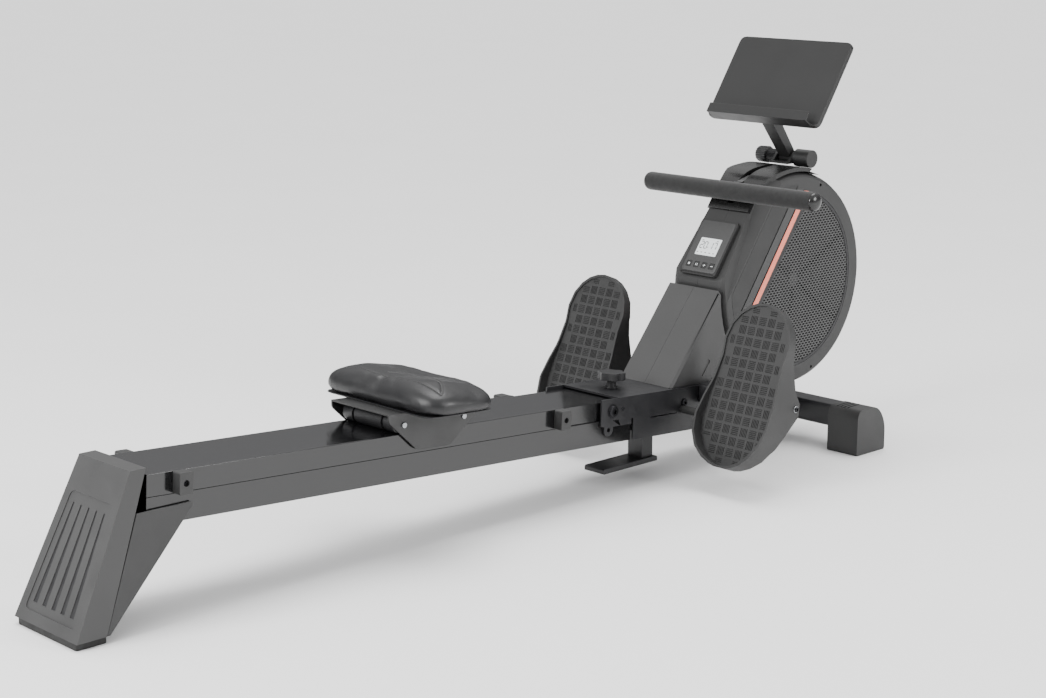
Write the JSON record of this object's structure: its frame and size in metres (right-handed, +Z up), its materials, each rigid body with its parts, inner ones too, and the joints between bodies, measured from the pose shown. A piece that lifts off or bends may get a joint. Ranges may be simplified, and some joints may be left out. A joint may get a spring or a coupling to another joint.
{
  "type": "rowing machine",
  "caption": "Magnetic rowing machine with a folding rail, sliding seat, swinging foot plates, a pull handle on a strap, a console and a tablet holder.",
  "frame": {"origin": "on the floor, under the middle of the machine's bounding box", "axes": "+X forward from the rear foot to the flywheel, +Y to the rower's left, +Z up"},
  "size_m": [2.257, 0.704, 0.9608],
  "materials": {
    "black_paint": "gloss",
    "grey_paint": "satin",
    "gloss_track": "gloss",
    "grey_plastic": "satin",
    "black_plastic": "satin",
    "rubber": "matte",
    "foam": "matte",
    "vinyl": "satin",
    "steel": "satin",
    "cast_iron": "matte",
    "webbing": "matte",
    "screen": "gloss"
  },
  "bodies": {
    "frame": {"main_frame": "black_paint", "pivot_bolt": "steel", "base_beam": "black_paint", "stabiliser_tube": "black_paint", "stabiliser_cap_left": "grey_plastic", "stabiliser_cap_right": "grey_plastic", "centre_foot": "black_paint", "upright_frame": "black_paint", "lower_shroud_left": "grey_plastic", "lower_shroud_right": "grey_plastic", "housing_left": "grey_plastic", "housing_right": "grey_plastic", "grille_left": "black_plastic", "grille_right": "black_plastic", "head_cover_left": "black_plastic", "head_cover_right": "black_plastic", "console_body": "grey_plastic", "console_screen": "screen", "pedal_axle": "steel", "pedal_bracket_left": "black_paint", "pedal_bracket_right": "black_paint", "stop_rod": "rubber", "flywheel_axle": "steel", "recoil_spring": "steel", "tablet_bracket": "black_plastic"},
    "rail": {"rail_tube": "black_paint", "rail_track": "gloss_track", "foot_cover": "grey_plastic", "foot_leg": "black_paint", "foot_plate_left": "grey_paint", "foot_plate_right": "grey_paint", "foot_pad": "rubber", "rear_stop_left": "grey_paint", "rear_stop_right": "grey_paint", "front_stop_left": "grey_paint", "front_stop_right": "grey_paint"},
    "seat": {"seat_cushion": "vinyl", "seat_pan": "black_plastic", "seat_carriage": "grey_paint", "roller_axle_rear": "steel", "roller_axle_front": "steel"},
    "roller_rear": {"seat_roller_rear": "rubber"},
    "roller_front": {"seat_roller_front": "rubber"},
    "pedal_left": {"pedal_left": "grey_plastic"},
    "pedal_right": {"pedal_right": "grey_plastic"},
    "handle": {"handle_grip": "foam", "pull_strap": "webbing"},
    "strap_drum": {"strap_drum": "black_plastic"},
    "tablet_holder": {"tablet_tray": "black_plastic", "tablet_arm": "black_plastic"},
    "clamp_knob": {"clamp_knob": "black_plastic"},
    "fold_knob": {"fold_knob": "black_plastic"},
    "flywheel": {"flywheel": "cast_iron"},
    "magnet_arm": {"magnet_arm": "steel"},
    "wheel_left": {"transport_wheel_left": "rubber"},
    "wheel_right": {"transport_wheel_right": "rubber"},
    "button_1": {"console_button_1": "grey_plastic"},
    "button_2": {"console_button_2": "grey_plastic"},
    "button_3": {"console_button_3": "grey_plastic"},
    "button_4": {"console_button_4": "grey_plastic"}
  },
  "joints": [
    {"name": "rail_fold", "type": "hinge", "parent": "frame", "child": "rail", "pos_m": [0.24155, 0, 0.19098], "axis": [0, 1, 0], "range_deg": [0, 80]},
    {"name": "seat_slide", "type": "slide", "parent": "rail", "child": "seat", "axis": [-0.9983, 0, 0.0588], "range_m": [-0.262, 0.5]},
    {"name": "rear_roller_spin", "type": "hinge", "parent": "seat", "child": "roller_rear", "pos_m": [-0.36066, 0, 0.26962], "axis": [0, 1, 0], "range_deg": [-1480, 800]},
    {"name": "front_roller_spin", "type": "hinge", "parent": "seat", "child": "roller_front", "pos_m": [-0.20094, 0, 0.26021], "axis": [0, 1, 0], "range_deg": [-1480, 800]},
    {"name": "left_pedal_tilt", "type": "hinge", "parent": "frame", "child": "pedal_left", "pos_m": [0.5555, 0.248, 0.187], "axis": [0, 1, 0], "range_deg": [0, 22]},
    {"name": "right_pedal_tilt", "type": "hinge", "parent": "frame", "child": "pedal_right", "pos_m": [0.5555, -0.248, 0.187], "axis": [0, 1, 0], "range_deg": [0, 22]},
    {"name": "handle_pull", "type": "slide", "parent": "frame", "child": "handle", "axis": [-1, 0, 0], "range_m": [0, 1.1], "stiffness_N_per_m": 20, "springref_m": -0.5},
    {"name": "strap_drum_spin", "type": "hinge", "parent": "frame", "child": "strap_drum", "pos_m": [0.8715, 0, 0.402], "axis": [0, 1, 0], "range_deg": [0, 1805]},
    {"name": "tablet_tilt", "type": "hinge", "parent": "frame", "child": "tablet_holder", "pos_m": [0.9375, 0, 0.683], "axis": [0, 1, 0], "range_deg": [-30, 20]},
    {"name": "clamp_knob_turn", "type": "hinge", "parent": "frame", "child": "clamp_knob", "pos_m": [0.9375, 0.07, 0.683], "axis": [0, 1, 0], "range_deg": [-180, 180]},
    {"name": "fold_knob_turn", "type": "hinge", "parent": "frame", "child": "fold_knob", "pos_m": [0.32733, 0, 0.21528], "axis": [0.0588, 0, 0.9983], "range_deg": [0, 720]},
    {"name": "flywheel_spin", "type": "hinge", "parent": "frame", "child": "flywheel", "pos_m": [0.8715, -0.036, 0.402], "axis": [0, 1, 0], "continuous": true},
    {"name": "magnet_shift", "type": "slide", "parent": "frame", "child": "magnet_arm", "axis": [1, 0, 0], "range_m": [0, 0.02]},
    {"name": "left_wheel_spin", "type": "hinge", "parent": "frame", "child": "wheel_left", "pos_m": [0.9815, 0.224, 0.052], "axis": [0, 1, 0], "continuous": true},
    {"name": "right_wheel_spin", "type": "hinge", "parent": "frame", "child": "wheel_right", "pos_m": [0.9815, -0.224, 0.052], "axis": [0, 1, 0], "continuous": true},
    {"name": "button_1_press", "type": "slide", "parent": "frame", "child": "button_1", "axis": [0.8121, 0, -0.5835], "range_m": [0, 0.0012], "stiffness_N_per_m": 500},
    {"name": "button_2_press", "type": "slide", "parent": "frame", "child": "button_2", "axis": [0.8121, 0, -0.5835], "range_m": [0, 0.0012], "stiffness_N_per_m": 500},
    {"name": "button_3_press", "type": "slide", "parent": "frame", "child": "button_3", "axis": [0.8121, 0, -0.5835], "range_m": [0, 0.0012], "stiffness_N_per_m": 500},
    {"name": "button_4_press", "type": "slide", "parent": "frame", "child": "button_4", "axis": [0.8121, 0, -0.5835], "range_m": [0, 0.0012], "stiffness_N_per_m": 500}
  ],
  "couplings": [
    {"joint": "rear_roller_spin", "follows": "seat_slide", "rad_per_m": -51.282},
    {"joint": "front_roller_spin", "follows": "seat_slide", "rad_per_m": -51.282},
    {"joint": "strap_drum_spin", "follows": "handle_pull", "rad_per_m": 28.571}
  ]
}
